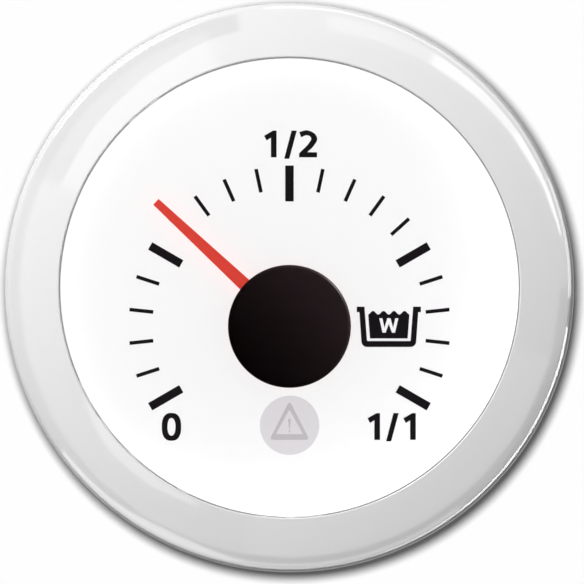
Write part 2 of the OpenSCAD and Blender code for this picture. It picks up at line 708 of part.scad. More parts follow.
module stator_outline() {
    pole_w = 3.2;
    translate([rotor_place.x, rotor_place.y]) circle(r = magnet_r + air_gap + 1.3);
    translate([-pole_w / 2, rotor_at]) square([pole_w, leg_head + yoke_w - rotor_at]);
    translate([-leg_x - leg_w / 2, leg_head]) square([2 * leg_x + leg_w, yoke_w]);
    for (side = [-1, 1]) {
        translate([side * leg_x - leg_w / 2, rotor_at - yoke_w / 2])
            square([leg_w, leg_head - rotor_at + yoke_w]);
        translate([side > 0 ? magnet_r : -leg_x, rotor_at - yoke_w / 2])
            square([leg_x - magnet_r, yoke_w]);
    }
}

module stator_core() color("#8d9196") at_arbor() translate([0, 0, iron_z]) linear_extrude(iron_t)
    difference() {
        stator_outline();
        translate([rotor_place.x, rotor_place.y]) circle(r = magnet_r + air_gap);
    }

module coil_ring(width, depth, inner_w, inner_d, low, high)
    translate([0, high, coil_mid]) rotate([90, 0, 0]) linear_extrude(high - low) difference() {
        square([width, depth], center = true);
        square([inner_w, inner_d], center = true);
    }

core_w = leg_w + 0.1;
core_d = iron_t + 0.1;
module coil_bobbins() color("#30343a") at_arbor() for (side = [-1, 1]) translate([side * leg_x, 0, 0]) {
    coil_ring(core_w + 0.7, core_d + 0.7, core_w, core_d, leg_foot, leg_head - slip);
    coil_ring(coil_w, coil_d, core_w, core_d, leg_foot, leg_foot + coil_t);
    coil_ring(coil_w, coil_d, core_w, core_d, leg_head - slip - coil_t, leg_head - slip);
}

module coil_windings() color("#b5652b") at_arbor() for (side = [-1, 1]) translate([side * leg_x, 0, 0])
    coil_ring(coil_w - 0.3, coil_d - 0.3, core_w + 0.72, core_d + 0.72,
        leg_foot + coil_t + hair, leg_head - slip - coil_t - hair);

module motor_pins() color("#c9ccd0") at_arbor() for (p = motor_pins_at)
    disc_at(p, motor_pin_r, coil_mid + coil_d / 2, board_z + 0.7);

// Case: one moulding, from the rim round the dial to the rear wall, with four screw posts
connector_hole_gap = 0.1;
vent_place = [0, 13];
vent_r = 1.4;
module case_shell() rotate_extrude() polygon([
    [0, -barrel_l], [core_r - 1, -barrel_l], [core_r, 1 - barrel_l], [core_r, -plain_l - 0.3],
    [barrel_r - 0.3, -plain_l - 0.3], [barrel_r, -plain_l], [barrel_r, seal_proud],
    [shoulder_r, seal_proud], [shoulder_r, seal_t], [flange_r, seal_t], [flange_r, flange_top],
    [rim_r, flange_top], [rim_r, rim_top], [cup_r, rim_top], [cup_r, ledge_z],
    [bore_r, ledge_z], [bore_r, floor_z], [0, floor_z]]);

module case() color("#2a2b2e") difference() {
    union() {
        case_shell();
        for (p = post_places) {
            disc_at(p, post_r, floor_z - hair, motor_z);
            translate([0, 0, floor_z - hair]) rotate(atan2(p.y, p.x))
                translate([norm(p), -0.5, 0]) cube([bore_r + 0.2 - norm(p), 1, motor_z - 2 - floor_z]);
        }
        for (a = [0, 180]) rotate(a) translate([bore_r - 1.2, -0.5, floor_z - hair])
            cube([1.4, 1, motor_z - 4 - floor_z]);
    }
    for (p = post_places) disc_at(p, screw_r + slip, board_z - screw_l - 1, motor_z + 1);
    round_block(plug_place, shroud_w + 2 * connector_hole_gap, shroud_h + 2 * connector_hole_gap,
        1.5 + connector_hole_gap, -barrel_l - 1, floor_z + 1);
    disc_at(vent_place, vent_r, -barrel_l - 1, floor_z + 1);
    disc_at(vent_place, vent_r * 2, floor_z - 0.5, floor_z + 1);
}

module vent_membrane() color("#e9e9e6") disc_at(vent_place, vent_r * 2 - slip, floor_z - 0.5, floor_z - 0.3);

// Connector: a shroud pushed out through the rear wall, held by its flange inside
cavity_z = -barrel_l - 0.5;
module connector_body() color("#1b1b1d") difference() {
    union() {
        round_block(plug_place, shroud_w, shroud_h, 1.5, mouth_z, floor_z + hair);
        intersection() {
            round_block(plug_place, shroud_w + 3.2, shroud_h + 3.2, 1.5, floor_z, floor_z + 1.6);
            tube(bore_r - 0.3, 0, floor_z - 1, floor_z + 3);
        }
        round_block(plug_place + [0, 1], pins_in_row * pin_pitch + 1, 2 * pin_pitch + 1, 0.8,
            floor_z + 1.6 - hair, floor_z + 4.5);
        for (x = [-1, 1]) block_at(plug_place + [x * shroud_w * 0.28, shroud_h / 2 + 0.3], 1.2, 0.9,
            mouth_z + 0.6, -barrel_l - connector_hole_gap);
    }
    round_block(plug_place, shroud_w - 2 * shroud_wall, shroud_h - 2 * shroud_wall, 0.7,
        mouth_z - 1, cavity_z);
    block_at(plug_place + [0, -shroud_h / 2 + shroud_wall / 2], 4.4, shroud_wall + 0.4,
        mouth_z + 1.8, mouth_z + 4);
    for (p = pin_places) block_at(p, pin_side + 2 * hair, pin_side + 2 * hair, mouth_z, floor_z + 6);
}

module connector_contacts() color("#c8b27a") for (p = pin_places)
    block_at(p, pin_side, pin_side, mouth_z + tip_depth, board_z + 0.7);

module panel_seal() color("#1c1c1e") tube(snap_r - inside_gap, shoulder_r + slip, 0, seal_t);

// Ring nut: a collar that bears on the panel, and a sleeve with round grips
module ring_nut() color("#232427") difference() {
    union() {
        tube(nut_d / 2, 0, -nut_off - collar_l, -nut_off);
        tube(nut_bore_r + 1.7, 0, -nut_off - nut_l, -nut_off - hair);
        for (i = [0 : grips - 1]) rotate(i * 360 / grips)
            disc_at([nut_d / 2 - inside_gap - grip_r, 0], grip_r, -nut_off - nut_l, -nut_off - hair);
    }
    tube(nut_bore_r, 0, -nut_off - nut_l - 1, 1 - nut_off);
    translate([0, 0, -nut_off - nut_l - hair]) cylinder(r1 = nut_bore_r + 0.6, r2 = nut_bore_r - 0.4, h = 1);
}

// Stands the gauge up, with the dial facing -Y
module stand() rotate([90, 0, 0]) children();

stand() front_ring();
stand() outer_lens();
stand() lens_spacer();
stand() inner_lens();
stand() lens_seal();
stand() dial_retainer();
stand() dial();
stand() scale_marks();
stand() lamp_window();
stand() pointer();
stand() pointer_cap();
stand() pointer_shaft();
stand() light_guide();
stand() dial_tray();
stand() dial_lamps();
stand() warning_lamp();
stand() circuit_board();
stand() board_screws();
stand() controller_chip();
stand() chip_legs();
stand() supply_capacitor();
stand() supply_regulator();
stand() surge_diode();
stand() motor_cover();
stand() motor_case();
stand() stator_core();
stand() coil_bobbins();
stand() coil_windings();
stand() motor_pins();
stand() output_wheel();
stand() idler_wheel();
stand() idler_pin();
stand() rotor_pinion();
stand() rotor_magnet();
stand() case();
stand() vent_membrane();
stand() connector_body();
stand() connector_contacts();
stand() panel_seal();
stand() ring_nut();
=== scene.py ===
import math

import bmesh
import bpy
from mathutils import Matrix, Vector


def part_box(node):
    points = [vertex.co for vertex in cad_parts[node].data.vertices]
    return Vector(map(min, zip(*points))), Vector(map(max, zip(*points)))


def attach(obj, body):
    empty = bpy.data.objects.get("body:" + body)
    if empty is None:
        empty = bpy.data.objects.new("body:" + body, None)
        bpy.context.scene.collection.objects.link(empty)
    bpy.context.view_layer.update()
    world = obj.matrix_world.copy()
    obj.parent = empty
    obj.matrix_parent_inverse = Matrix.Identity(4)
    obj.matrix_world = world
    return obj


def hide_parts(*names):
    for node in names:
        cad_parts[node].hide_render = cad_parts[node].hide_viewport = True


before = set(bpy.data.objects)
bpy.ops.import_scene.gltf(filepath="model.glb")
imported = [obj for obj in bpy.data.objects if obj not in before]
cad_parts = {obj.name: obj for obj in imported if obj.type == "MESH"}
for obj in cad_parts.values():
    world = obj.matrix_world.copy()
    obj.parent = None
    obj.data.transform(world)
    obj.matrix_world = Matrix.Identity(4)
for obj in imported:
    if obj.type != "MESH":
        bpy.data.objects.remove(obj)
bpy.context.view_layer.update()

# Case: one black glass-filled nylon moulding, from the rim round the dial to the rear wall. Its
# outside has the fine grain of a spark-eroded mould, polished by handling on the edges.
mm = 0.001
standing = Matrix.Rotation(math.radians(90), 4, "X")


class Value:
    """A shader socket. Arithmetic on it adds Math nodes to its tree."""

    def __init__(self, nodes, socket):
        self.nodes = nodes
        self.socket = socket

    def worked(self, operation, first, second=0.0):
        return self.nodes.add("ShaderNodeMath", {"operation": operation}, {0: first, 1: second})

    def __add__(self, other):
        return self.worked("ADD", self, other)

    def __radd__(self, other):
        return self.worked("ADD", other, self)

    def __sub__(self, other):
        return self.worked("SUBTRACT", self, other)

    def __rsub__(self, other):
        return self.worked("SUBTRACT", other, self)

    def __mul__(self, other):
        return self.worked("MULTIPLY", self, other)

    def __rmul__(self, other):
        return self.worked("MULTIPLY", other, self)

    def above(self, level):
        return self.worked("GREATER_THAN", self, level)

    def larger(self, other):
        return self.worked("MAXIMUM", self, other)

    def smaller(self, other):
        return self.worked("MINIMUM", self, other)

    def wave(self):
        return self.worked("SINE", self)


class Nodes:
    """A shader tree, grown node by node."""

    def __init__(self, tree):
        self.tree = tree

    def join(self, value, socket):
        if isinstance(value, Value):
            self.tree.links.new(value.socket, socket)
        else:
            socket.default_value = value

    def add(self, kind, settings={}, inputs={}, output=0):
        """Any other node: its type, its settings, and what goes into its sockets."""
        node = self.tree.nodes.new(kind)
        for name, value in settings.items():
            setattr(node, name, value)
        for name, value in inputs.items():
            self.join(value, node.inputs[name])
        return Value(self, node.outputs[output])


class Finish(Nodes):
    """A material built round its Principled shader, or another one in that one's place."""

    def __init__(self, name, **constants):
        self.material = bpy.data.materials.new(name)
        self.material.use_nodes = True
        super().__init__(self.material.node_tree)
        self.shader = self.tree.nodes["Principled BSDF"]
        for socket, value in constants.items():
            self.shader.inputs[socket.replace("_", " ")].default_value = value

    def place(self):
        return self.add("ShaderNodeTexCoord", output="Object")

    def along(self, axis):
        """How far a point lies along X, Y or Z, in millimetres."""
        return self.add("ShaderNodeSeparateXYZ", {}, {0: self.place()}, axis) * (1 / mm)

    def noise(self, size, detail=3.0):
        """Soft patches of the given size in metres, from 0 to 1."""
        return self.add("ShaderNodeTexNoise", {"noise_dimensions": "4D"},
                        {"Vector": self.place(), "Scale": 1.0 / size, "Detail": detail})

    def speckle(self, size):
        """Grains of the given size in metres: the distance to the nearest grain."""
        return self.add("ShaderNodeTexVoronoi", {}, {"Vector": self.place(), "Scale": 1.0 / size})

    def blend(self, share, first, second):
        """A colour between two colours."""
        first, second = [c if isinstance(c, Value) else (*c, 1.0) for c in (first, second)]
        return self.add("ShaderNodeMix", {"data_type": "RGBA"}, {0: share, 6: first, 7: second}, 2)

    def worn(self):
        """1 on sharp outer edges, falling to 0 a short way from them."""
        reach, steepness = 0.3 * mm, 6.0
        round_normal = self.add("ShaderNodeBevel", {"samples": 4}, {"Radius": reach})
        true_normal = self.add("ShaderNodeNewGeometry", output="Normal")
        match = self.add("ShaderNodeVectorMath", {"operation": "DOT_PRODUCT"},
                         {0: round_normal, 1: true_normal}, "Value")
        return ((1.0 - match) * steepness).smaller(1.0)

    def paint(self, colour, roughness=None, height=None, depth=None):
        """Joins the finish's colour, roughness and relief, with its depth in millimetres."""
        self.join(colour if isinstance(colour, Value) else (*colour, 1.0),
                  self.shader.inputs["Base Color"])
        if roughness is not None:
            self.join(roughness, self.shader.inputs["Roughness"])
        if height is not None:
            relief = self.add("ShaderNodeBump", {}, {"Strength": 1.0, "Distance": depth * mm,
                                                     "Height": height})
            self.join(relief, self.shader.inputs["Normal"])
        return self

    def shown_by(self, shader):
        """Puts another shader on the surface."""
        self.join(shader, self.tree.nodes["Material Output"].inputs["Surface"])


def moulded(name, tone, grain=0.12, gloss=0.42):
    """Dark moulded plastic: eroded grain, soft dusty patches and paler edges."""
    finish = Finish(name)
    grains = finish.speckle(grain * mm)
    patches = finish.noise(7 * mm, 4)
    edge = finish.worn()
    clean = [c * 0.85 for c in tone]
    dusty = [c * 1.2 for c in tone]
    rubbed = [c * 2.6 + 0.01 for c in tone]
    return finish.paint(finish.blend(edge * 0.5, finish.blend(patches, clean, dusty), rubbed),
                        gloss + patches * 0.14 - edge * 0.12,
                        grains * 0.6 + finish.noise(0.05 * mm, 2) * 0.4, 0.012)


def dressed(node, finish):
    """Gives a CAD node its finish."""
    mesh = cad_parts[node].data
    mesh.materials.clear()
    mesh.materials.append(finish.material)


def settled(piece, body, slot, *nodes):
    """A finished piece rides on its body and stands for the CAD nodes. Its slot is not used."""
    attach(piece, body)
    if nodes:
        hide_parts(*nodes)


def made(name, mesh, finish, sharp=32):
    """An object from a finished mesh, smooth apart from its sharp edges."""
    mesh.materials.clear()
    mesh.materials.append(finish.material)
    mesh.shade_smooth()
    mesh.set_sharp_from_angle(angle=math.radians(sharp))
    piece = bpy.data.objects.new(name, mesh)
    bpy.context.scene.collection.objects.link(piece)
    return piece


def applied(piece):
    """Turns a piece's modifiers into plain mesh."""
    held = bpy.context.evaluated_depsgraph_get()
    held.update()
    mesh = bpy.data.meshes.new_from_object(piece.evaluated_get(held))
    piece.modifiers.clear()
    piece.data = mesh
    return piece


def rounded_copy(node, name, finish, edge):
    """The CAD node's own shape with its triangles joined, shaded smooth, and its edges broken."""
    same_point, same_plane, hard_edge = 0.0005 * mm, math.radians(0.6), math.radians(40)
    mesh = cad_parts[node].data.copy()
    form = bmesh.new()
    form.from_mesh(mesh)
    bmesh.ops.remove_doubles(form, verts=form.verts, dist=same_point)
    bmesh.ops.dissolve_limit(form, angle_limit=same_plane, verts=form.verts, edges=form.edges)
    form.to_mesh(mesh)
    form.free()
    piece = made(name, mesh, finish)
    broken = piece.modifiers.new("edge", "BEVEL")
    broken.width = edge * mm
    broken.segments = 2
    broken.limit_method = "ANGLE"
    broken.angle_limit = hard_edge
    level = piece.modifiers.new("level", "WEIGHTED_NORMAL")
    level.keep_sharp = True
    return applied(piece)


case_black = moulded("case_black", (0.019, 0.0195, 0.021))
settled(rounded_copy("case", "case_moulding", case_black, 0.12), "gauge", "case_black", "case")


# Thread on the barrel: moulded with the case, a ridge that winds back from the plain stretch to
# the rear wall and runs out at both ends. The ring nut turns on it.
thread_pitch = 2.5
thread_front = -6.9
thread_rear = -36.9
runout_turns = 1 / 3
runout_least = 0.03
ridge_foot_r, ridge_crest_r = 25.16, 25.88
ridge_foot_w, ridge_crest_w = 1.5, 0.55


def closed(mesh, gap):
    """Joins points that lie within the gap, in millimetres, and turns the faces outwards."""
    form = bmesh.new()
    form.from_mesh(mesh)
    bmesh.ops.remove_doubles(form, verts=form.verts, dist=gap * mm)
    bmesh.ops.recalc_face_normals(form, faces=form.faces)
    form.to_mesh(mesh)
    form.free()


class Tree:
    """A geometry tree: its named sizes, and the nodes joined in it."""

    def __init__(self, name, **sizes):
        self.tree = bpy.data.node_groups.new(name, "GeometryNodeTree")
        ports = self.tree.interface
        ports.new_socket("Geometry", in_out="OUTPUT", socket_type="NodeSocketGeometry")
        self.sizes = {}
        for size, value in sizes.items():
            kind = "NodeSocketInt" if isinstance(value, int) else "NodeSocketFloat"
            socket = ports.new_socket(size, in_out="INPUT", socket_type=kind)
            socket.default_value = value
            self.sizes[socket.identifier] = value
        self.entry = self.tree.nodes.new("NodeGroupInput")

    def size(self, name):
        return self.entry.outputs[name]

    def add(self, kind, settings={}, inputs={}):
        node = self.tree.nodes.new(kind)
        for name, value in settings.items():
            setattr(node, name, value)
        for name, value in inputs.items():
            if isinstance(value, bpy.types.NodeSocket):
                self.tree.links.new(value, node.inputs[name])
            else:
                node.inputs[name].default_value = value
        return node.outputs[0]

    def math(self, operation, first, second):
        return self.add("ShaderNodeMath", {"operation": operation}, {0: first, 1: second})

    def piece(self, name, geometry, finish, place, sharp=32):
        """Ends the tree, runs it with its sizes, and returns the plain piece, standing in place."""
        whole = self.add("GeometryNodeRealizeInstances", {}, {"Geometry": geometry})
        whole = self.add("GeometryNodeSetMaterial", {}, {"Geometry": whole,
                                                         "Material": finish.material})
        end = self.tree.nodes.new("NodeGroupOutput")
        self.tree.links.new(whole, end.inputs[0])
        piece = bpy.data.objects.new(name, bpy.data.meshes.new(name))
        bpy.context.scene.collection.objects.link(piece)
        grown = piece.modifiers.new(name, "NODES")
        grown.node_group = self.tree
        for identifier, value in self.sizes.items():
            grown[identifier] = value
        applied(piece)
        piece.data.transform(standing @ place)
        closed(piece.data, 0.001)
        piece.data.shade_smooth()
        piece.data.set_sharp_from_angle(angle=math.radians(sharp))
        return piece


def thread(name, finish, foot_r, crest_r, foot_w, crest_w, start, turns):
    """A ridge on a helix, thinned to nothing over its first and last third of a turn."""
    tree = Tree(name, middle=(foot_r + crest_r) / 2 * mm, depth=abs(crest_r - foot_r) * mm,
                foot=foot_w * mm, crest=crest_w * mm, rise=turns * thread_pitch * mm,
                turns=float(turns), steps=72)
    helix = tree.add("GeometryNodeCurveSpiral", {}, {
        "Resolution": tree.size("steps"), "Rotations": tree.size("turns"),
        "Start Radius": tree.size("middle"), "End Radius": tree.size("middle"),
        "Height": tree.size("rise")})
    helix = tree.add("GeometryNodeSetCurveNormal", {"mode": "Z_UP"}, {"Curve": helix})
    share = tree.add("GeometryNodeSplineParameter")
    ends = tree.math("MINIMUM", share, tree.math("SUBTRACT", 1.0, share))
    thin = tree.math("MINIMUM", tree.math("MULTIPLY", ends, turns / runout_turns), 1.0)
    section = tree.add("GeometryNodeCurvePrimitiveQuadrilateral", {"mode": "TRAPEZOID"}, {
        "Bottom Width": tree.size("foot"), "Top Width": tree.size("crest"), "Offset": 0.0,
        "Height": tree.size("depth")})
    outwards = math.radians(-90 if crest_r > foot_r else 90)
    section = tree.add("GeometryNodeTransform", {}, {
        "Geometry": section, "Rotation": (0, 0, outwards)})
    ridge = tree.add("GeometryNodeCurveToMesh", {}, {
        "Curve": helix, "Profile Curve": section, "Fill Caps": True,
        "Scale": tree.math("MAXIMUM", thin, runout_least)})
    return tree.piece(name, ridge, finish, Matrix.Translation((0, 0, start * mm)), 50)


barrel_thread = thread("barrel_thread", case_black, ridge_foot_r, ridge_crest_r, ridge_foot_w,
                       ridge_crest_w, thread_rear, (thread_front - thread_rear) / thread_pitch)
settled(barrel_thread, "gauge", "case_black")


# Vent: a disc of white foamed membrane, welded over the hole in the rear wall, that lets the
# gauge breathe and keeps water out.
membrane = Finish("membrane_white")
weave = membrane.speckle(0.09 * mm)
membrane.paint(membrane.blend(membrane.noise(0.6 * mm), (0.70, 0.70, 0.68), (0.82, 0.82, 0.80)),
               0.75 + weave * 0.2, weave, 0.02)
dressed("vent_membrane", membrane)


# Connector: a glossy black shroud pushed out through the rear wall, with two guide ribs and a
# latch window. Its flange inside the case holds it.
connector_black = moulded("connector_black", (0.012, 0.012, 0.0135), 0.2, 0.3)
settled(rounded_copy("connector_body", "connector_shroud", connector_black, 0.15), "gauge",
        "connector_black", "connector_body")


# Contacts: square brass pins drawn through dies and tinned, so they show fine lines along them.
# They run from the socket to the circuit board, which they are soldered into.
def drawn_lines(finish, per_metre, stretch, detail):
    """Fine lines along Y, as drawing leaves them: noise that is stretched that way."""
    place = finish.add("ShaderNodeMapping", {}, {"Vector": finish.place(),
                                                 "Scale": (1.0, stretch, 1.0)})
    return finish.add("ShaderNodeTexNoise", {}, {"Vector": place, "Scale": per_metre,
                                                 "Detail": detail})


contact_tin = Finish("contact_tin", Metallic=1.0)
lines = drawn_lines(contact_tin, 14000.0, 0.02, 2.0)
contact_tin.paint(contact_tin.blend(contact_tin.noise(1.2 * mm), (0.66, 0.58, 0.42),
                                    (0.80, 0.77, 0.70)), 0.2 + lines * 0.2, lines, 0.004)
dressed("connector_contacts", contact_tin)


# Seal: a flat ring of black rubber between the flange and the panel, cut from moulded tube. It
# has the dull bloom of new rubber.
rubber_black = Finish("rubber_black")
bloom = rubber_black.noise(2.5 * mm, 5)
rubber_black.paint(rubber_black.blend(bloom, (0.010, 0.010, 0.011), (0.026, 0.026, 0.027)),
                   0.62 + bloom * 0.25, rubber_black.noise(0.16 * mm, 4), 0.02)
settled(rounded_copy("panel_seal", "panel_gasket", rubber_black, 0.08), "gauge", "rubber_black",
        "panel_seal")


# Ring nut: a black nylon moulding with twelve round grips and a collar that bears on the panel.
# Its thread lies in the barrel's grooves. The nut's front half is plain inside, so that it passes
# over the plain stretch of the barrel.
nut_foot_r, nut_crest_r = 26.03, 25.41
nut_foot_w, nut_crest_w = 1.3, 0.5
nut_start = thread_rear + 6.5 * thread_pitch
nut_turns = 1.6
nut_black = moulded("nut_black", (0.0165, 0.017, 0.018), 0.16, 0.4)
settled(rounded_copy("ring_nut", "panel_nut", nut_black, 0.15), "nut", "nut_black", "ring_nut")
nut_thread = thread("nut_thread", nut_black, nut_foot_r, nut_crest_r, nut_foot_w, nut_crest_w,
                    nut_start, nut_turns)
settled(nut_thread, "nut", "nut_black")


# Circuit board: green solder mask over copper tracks on glass fibre, with the weave showing
# through a little and plated holes for the pins.
track_edge = 0.10
strands = 9.0
board_green = Finish("board_green")
cells = board_green.add("ShaderNodeTexVoronoi",
                        {"distance": "CHEBYCHEV", "feature": "DISTANCE_TO_EDGE"},
                        {"Vector": board_green.place(), "Scale": 520.0})
copper = (track_edge - cells).above(0.0)
weave = (board_green.along("X") * strands).wave() * (board_green.along("Z") * strands).wave()
mask = board_green.blend(board_green.noise(9 * mm), (0.006, 0.055, 0.026), (0.010, 0.078, 0.036))
board_green.paint(board_green.blend(copper, mask, (0.022, 0.13, 0.055)),
                  0.26 + board_green.noise(1.5 * mm) * 0.14, copper * 0.8 + weave * 0.12, 0.03)
dressed("circuit_board", board_green)


# Solder: a bright fillet round each pin of the socket and the motor, where the pin comes through
# to the front of the board.
contact_side = 0.64
pin_d = 0.5
pin_gap = 3.4
solder_lift = 0.003
contact_low, contact_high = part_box("connector_contacts")
pins_low, pins_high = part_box("motor_pins")
solder = Finish("solder_tin", Metallic=1.0)
solder.paint(solder.blend(solder.noise(0.5 * mm), (0.62, 0.63, 0.64), (0.80, 0.80, 0.79)),
             0.18 + solder.noise(0.2 * mm) * 0.25, solder.noise(0.3 * mm), 0.01)


def front_of(node):
    """How far a CAD node's front stands before the panel's face, in millimetres."""
    return -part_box(node)[0].y / mm


def solder_fillets(name, x, z, across, up, columns, rows):
    """A grid of solder cones on the board's front, about its middle."""
    tree = Tree(name, across=across * mm, up=up * mm, columns=columns, rows=rows,
                foot=0.62 * mm, neck=0.38 * mm, rise=0.45 * mm)
    grid = tree.add("GeometryNodeMeshGrid", {}, {
        "Size X": tree.size("across"), "Size Y": tree.size("up"),
        "Vertices X": tree.size("columns"), "Vertices Y": tree.size("rows")})
    cone = tree.add("GeometryNodeMeshCone", {}, {
        "Vertices": 16, "Side Segments": 3, "Radius Top": tree.size("neck"),
        "Radius Bottom": tree.size("foot"), "Depth": tree.size("rise")})
    fillets = tree.add("GeometryNodeInstanceOnPoints", {}, {"Points": grid, "Instance": cone})
    place = Matrix.Translation((x * mm, z * mm, (front_of("circuit_board") + solder_lift) * mm))
    settled(tree.piece(name, fillets, solder, place), "gauge", "bright_steel")


solder_fillets("contact_solder", (contact_low.x + contact_high.x) / 2 / mm,
               (contact_low.z + contact_high.z) / 2 / mm,
               (contact_high.x - contact_low.x) / mm - contact_side,
               (contact_high.z - contact_low.z) / mm - contact_side, 4, 2)
for side, word in ((-1, "left"), (1, "right")):
    solder_fillets("motor_solder_" + word, side * (pins_high.x / mm - pin_d / 2 - pin_gap / 2),
                   (pins_low.z + pins_high.z) / 2 / mm, pin_gap, 0.0, 2, 1)


# Board screws: zinc-plated cross-head screws that cut their own thread in the case's posts. The
# chip's legs, the motor's pins, the pointer's shaft and the idler's pin have the same bright
# steel.
bright_steel = Finish("bright_steel", Metallic=1.0)
turned = bright_steel.noise(0.08 * mm, 2)
bright_steel.paint(bright_steel.blend(bright_steel.noise(3 * mm), (0.55, 0.57, 0.60),
                                      (0.70, 0.71, 0.72)), 0.22 + turned * 0.16, turned, 0.003)
for node in ("board_screws", "chip_legs", "motor_pins", "pointer_shaft", "idler_pin"):
    dressed(node, bright_steel)


# Chip, regulator and diode: matt epoxy mouldings with a faint flow pattern. Their legs are
# soldered flat to the board.
chip_black = Finish("chip_black")
flow = chip_black.noise(1.4 * mm, 6)
chip_black.paint(chip_black.blend(flow, (0.012, 0.012, 0.014), (0.030, 0.030, 0.033)),
                 0.5 + flow * 0.2, chip_black.noise(0.05 * mm, 2), 0.01)
for node in ("controller_chip", "supply_regulator", "surge_diode"):
    dressed(node, chip_black)


# Capacitor: an aluminium can drawn from sheet, with a groove that holds its rubber bung. Drawing
# leaves fine lines along it.
can_metal = Finish("can_metal", Metallic=1.0)
lines = drawn_lines(can_metal, 9000.0, 0.05, 3.0)
can_metal.paint(can_metal.blend(lines, (0.58, 0.60, 0.63), (0.74, 0.75, 0.77)),
                0.28 + lines * 0.15, lines, 0.005)
dressed("supply_capacitor", can_metal)


# Motor: a black moulded case and its cover, which hold the wheels, and two bobbins of the same
# black plastic, which the coils are wound on.
motor_black = moulded("motor_black", (0.017, 0.0175, 0.019), 0.1, 0.46)
for node in ("motor_case", "motor_cover", "coil_bobbins"):
    dressed(node, motor_black)


# Wheels: white acetal, moulded, a little milky. The rotor's pinion drives the idler wheel, and
# the idler's own pinion drives the output wheel on the pointer's shaft.
gear_ivory = Finish("gear_ivory")
milky = gear_ivory.noise(1.8 * mm, 4)
gear_ivory.paint(gear_ivory.blend(milky, (0.74, 0.71, 0.61), (0.84, 0.81, 0.73)),
                 0.3 + milky * 0.15, gear_ivory.noise(0.09 * mm, 2), 0.004)
for node in ("output_wheel", "idler_wheel", "rotor_pinion"):
    dressed(node, gear_ivory)


# Magnet: ferrite, pressed and sintered, with fine open pores. It turns with the rotor's pinion,
# whose hub is moulded through its bore.
magnet_grey = Finish("magnet_grey", Metallic=0.6)
pores = magnet_grey.speckle(0.1 * mm)
magnet_grey.paint(magnet_grey.blend(pores, (0.075, 0.078, 0.082), (0.14, 0.142, 0.148)),
                  0.45 + pores * 0.2, pores, 0.01)
dressed("rotor_magnet", magnet_grey)


# Core: soft iron stamped from sheet, with sheared edges. It leads the coils' field round the
# magnet.
core_steel = Finish("core_steel", Metallic=1.0)
sheared = core_steel.noise(0.3 * mm, 5)
core_steel.paint(core_steel.blend(sheared, (0.30, 0.31, 0.32), (0.46, 0.47, 0.48)),
                 0.3 + sheared * 0.25, sheared, 0.008)
dressed("stator_core", core_steel)


# Coils: enamelled copper wire, wound turn beside turn on the two bobbins, so that the turns show
# as fine ridges. Their colour is painted darker in the grooves between turns: painted shade.
wire_d = 0.16
coil_copper = Finish("coil_copper", Metallic=1.0)
turns = (coil_copper.along("Z") * (math.tau / wire_d)).wave()
# The copper is painted dark where the wave dips between turns: painted shade, not a tone of the
# wire.
coil_copper.paint(coil_copper.blend(turns * 0.5 + 0.5, (0.25, 0.08, 0.03), (0.62, 0.27, 0.12)),
                  0.24 + coil_copper.noise(0.5 * mm) * 0.12, turns, 0.05)
dressed("coil_windings", coil_copper)


# Tray: a white moulding that carries the dial and keeps the light in. It stands on the board, and
# its flange on a ledge in the case.
tray_white = Finish("tray_white")
cloudy = tray_white.noise(3 * mm, 4)
tray_white.paint(tray_white.blend(cloudy, (0.80, 0.80, 0.78), (0.88, 0.88, 0.87)),
                 0.42 + cloudy * 0.15, tray_white.noise(0.12 * mm, 2), 0.006)
dressed("dial_tray", tray_white)


# Light guide: a disc of clear acrylic on a ledge in the tray, which spreads the lamps' light under
# the dial. Its faces are frosted to let the light out.
clear_guide = Finish("clear_guide", Transmission_Weight=0.9, IOR=1.49)
frost = clear_guide.speckle(0.35 * mm)
clear_guide.paint((0.93, 0.96, 0.96), 0.12 + frost * 0.3, frost, 0.02)
dressed("light_guide", clear_guide)


# Lamps: small cast bodies soldered to the board, warm yellow ones under the dial and a red one
# under the warning window. They are filled with a grainy gel.
for node, name, tones in (("dial_lamps", "lamp_yellow", ((0.72, 0.62, 0.30), (0.85, 0.78, 0.48))),
                          ("warning_lamp", "lamp_red", ((0.55, 0.30, 0.27), (0.70, 0.44, 0.40)))):
    gel = Finish(name)
    grains = gel.speckle(0.12 * mm)
    dressed(node, gel.paint(gel.blend(grains, *tones), 0.22 + grains * 0.2, grains, 0.01))


# Dial: a white polycarbonate disc, printed from the front. The matt white coat has a fine
# screen-print grain.
dial_white = Finish("dial_white")
coat = dial_white.noise(0.11 * mm, 3)
dial_white.paint(dial_white.blend(dial_white.noise(14 * mm), (0.905, 0.905, 0.905),
                                  (0.93, 0.93, 0.93)), 0.55 + coat * 0.15, coat, 0.003)
dressed("dial", dial_white)


# Retainer: a white satin ring round the dial's edge that keeps it down on the tray. The inner
# lens bears on it.
retainer_white = Finish("retainer_white")
satin = retainer_white.noise(0.2 * mm, 3)
retainer_white.paint(retainer_white.blend(satin, (0.84, 0.84, 0.84), (0.90, 0.90, 0.90)),
                     0.45 + satin * 0.1, satin, 0.004)
dressed("dial_retainer", retainer_white)


# Print: black ink laid through a screen, a little uneven in gloss. Each sign is a flat layer as
# thick as the scale's marks, and stands on the dial's face.
dial_top = front_of("dial")
ink_t = front_of("scale_marks") - dial_top
figure_h = 2.83
ink_black = Finish("ink_black", Specular_IOR_Level=0.06)
uneven = ink_black.noise(0.25 * mm, 4)
ink_black.paint(ink_black.blend(uneven, (0.0058, 0.0042, 0.0058), (0.0088, 0.0070, 0.0088)),
                0.42 + uneven * 0.2, ink_black.noise(0.07 * mm, 3), 0.004)
dressed("scale_marks", ink_black)


